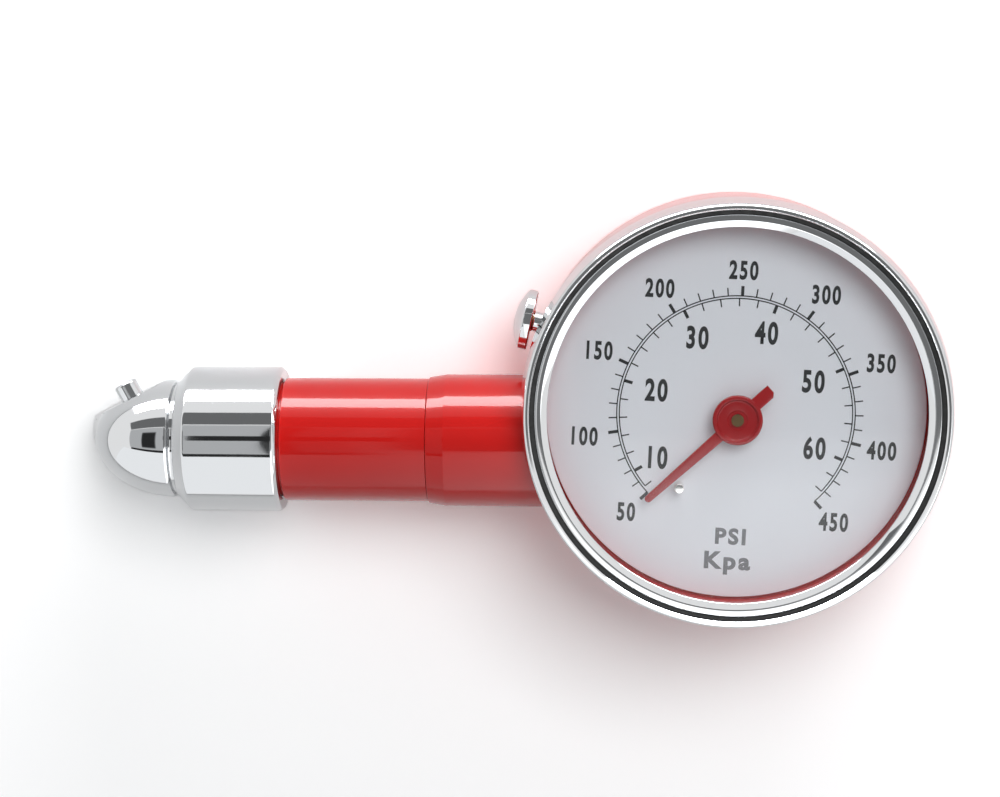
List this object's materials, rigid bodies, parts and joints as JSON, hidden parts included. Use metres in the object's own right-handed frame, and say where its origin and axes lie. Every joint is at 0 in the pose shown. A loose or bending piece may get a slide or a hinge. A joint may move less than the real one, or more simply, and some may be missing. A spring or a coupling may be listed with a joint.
{
  "type": "tyre pressure gauge",
  "caption": "Round dial tyre pressure gauge with a straight handle, an angled push-on chuck, a release button and a geared Bourdon tube movement.",
  "frame": {"origin": "middle of the flat back of the case, on the dial's axis", "axes": "+Z out of the dial, -X along the handle to the chuck, +Y up on the dial"},
  "size_m": [0.1302, 0.063, 0.029],
  "materials": {
    "chrome": "bright chrome plate",
    "clear": "clear moulded window",
    "rubber": "black rubber",
    "red_paint": "gloss red enamel",
    "steel": "plain steel",
    "brass": "turned brass",
    "bronze": "spring bronze",
    "dial_white": "satin off-white print ground",
    "pointer_red": "satin red"
  },
  "bodies": {
    "case": {"bezel": "chrome", "lens": "clear", "lens_gasket": "rubber", "rear_case": "red_paint", "case_screws": "steel", "handle_tube": "red_paint", "collar": "chrome", "collar_o_ring": "rubber", "chuck_head": "chrome", "deflator_pin": "chrome", "chuck_seal": "rubber", "core_depressor": "brass", "check_seat": "brass", "check_guide": "brass", "check_spring": "steel", "inlet_tube": "brass", "inlet_o_ring": "rubber", "release_valve_body": "brass", "release_spring": "steel", "socket_block": "brass", "bourdon_tube": "bronze", "lower_plate": "brass", "upper_plate": "brass", "movement_pillars": "brass", "movement_screws": "steel", "hairspring": "bronze", "hairspring_stud": "brass", "dial_plate": "dial_white", "stop_pin": "steel"},
    "button": {"release_button": "chrome", "release_plug": "rubber"},
    "poppet": {"check_poppet": "brass"},
    "sector": {"sector_gear": "brass", "sector_arbor": "steel"},
    "pointer": {"pointer": "pointer_red", "pointer_arbor": "brass", "pinion": "brass"},
    "tube_tip": {"tube_end_cap": "brass"},
    "link_bar": {"link": "steel"}
  },
  "joints": [
    {"name": "button_press", "type": "slide", "parent": "case", "child": "button", "axis": [0.9751, -0.2215, 0], "range_m": [0, 0.0009], "stiffness_N_per_m": 600, "springref_m": -0.002, "deforming": ["release_spring"]},
    {"name": "poppet_lift", "type": "slide", "parent": "case", "child": "poppet", "axis": [1, 0, 0], "range_m": [0, 0.001], "stiffness_N_per_m": 120, "springref_m": -0.002, "deforming": ["check_spring"]},
    {"name": "sector_turn", "type": "hinge", "parent": "case", "child": "sector", "pos_m": [-0.0061, -0.01181, 0.013], "axis": [0, 0, 1], "range_deg": [0, 45]},
    {"name": "pointer_turn", "type": "hinge", "parent": "case", "child": "pointer", "pos_m": [0.0002, -0.0009, 0.013], "axis": [0, 0, 1], "range_deg": [-270, 0], "deforming": ["hairspring"]},
    {"name": "tip_spread", "type": "slide", "parent": "case", "child": "tube_tip", "axis": [0.866, -0.5, 0], "range_m": [0, 0.00341], "deforming": ["bourdon_tube"]},
    {"name": "link_swing", "type": "hinge", "parent": "sector", "child": "link_bar", "pos_m": [-0.00964, -0.01453, 0.014], "axis": [0, 0, 1], "range_deg": [-45, 0]}
  ],
  "couplings": [
    {"joint": "sector_turn", "follows": "tip_spread", "rad_per_m": 230.05},
    {"joint": "pointer_turn", "follows": "tip_spread", "rad_per_m": -1380.3},
    {"joint": "link_swing", "follows": "tip_spread", "rad_per_m": -230.05}
  ]
}
